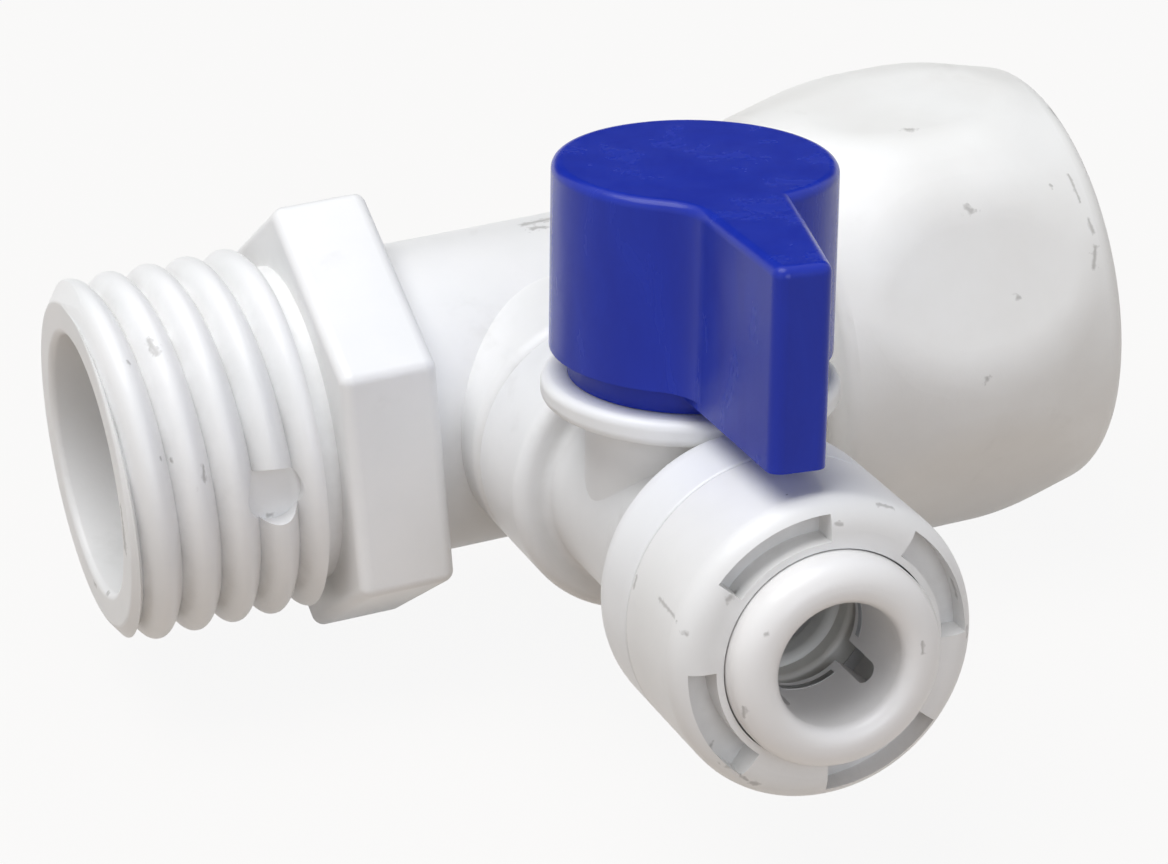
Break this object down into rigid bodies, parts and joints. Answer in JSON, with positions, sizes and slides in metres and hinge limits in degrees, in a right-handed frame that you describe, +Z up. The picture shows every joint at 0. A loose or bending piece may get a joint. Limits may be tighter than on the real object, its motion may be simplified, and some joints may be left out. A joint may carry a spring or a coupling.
{
  "type": "water inlet valve",
  "caption": "White plastic inlet tee with a male threaded end and hexagon, a swivel nut, and a side ball valve with a blue lever knob and a push-fit tube outlet.",
  "frame": {"origin": "on the run axis, at the middle of the male thread's crested length", "axes": "+X along the run from the male end to the swivel nut, -Y along the outlet, +Z up towards the knob"},
  "size_m": [0.0588, 0.0578, 0.0337],
  "materials": {
    "white_acetal": "satin",
    "white_abs": "satin",
    "natural_nylon": "satin",
    "blue_abs": "semi-gloss",
    "seat_ptfe": "matte",
    "black_rubber": "matte",
    "white_silicone": "matte",
    "tooth_steel": "satin"
  },
  "bodies": {
    "body": {"tee_body": "white_acetal", "valve_body": "white_acetal", "joint_ring": "black_rubber", "ball_sleeve": "natural_nylon", "seat_in": "seat_ptfe", "seat_out": "seat_ptfe", "stem_bush": "natural_nylon", "push_fit_cap": "white_acetal", "tube_ring": "white_silicone", "ring_spacer": "natural_nylon", "nut_clip": "natural_nylon"},
    "spindle": {"knob": "blue_abs", "stem": "natural_nylon", "stem_ring": "black_rubber", "ball": "natural_nylon"},
    "collet": {"collet": "white_acetal", "collet_tooth_1": "tooth_steel", "collet_tooth_2": "tooth_steel", "collet_tooth_3": "tooth_steel", "collet_tooth_4": "tooth_steel"},
    "nut": {"swivel_nut": "white_abs", "nut_washer": "black_rubber"}
  },
  "joints": [
    {"name": "valve_quarter_turn", "type": "hinge", "parent": "body", "child": "spindle", "pos_m": [0.0214, -0.0235, 0], "axis": [0.0872, 0, 0.9962], "range_deg": [-90, 0]},
    {"name": "collet_push", "type": "slide", "parent": "body", "child": "collet", "axis": [0, 1, 0], "range_m": [0, 0.0011]},
    {"name": "nut_swivel", "type": "hinge", "parent": "body", "child": "nut", "pos_m": [0.0451, 0, 0], "axis": [1, 0, 0], "continuous": true}
  ]
}
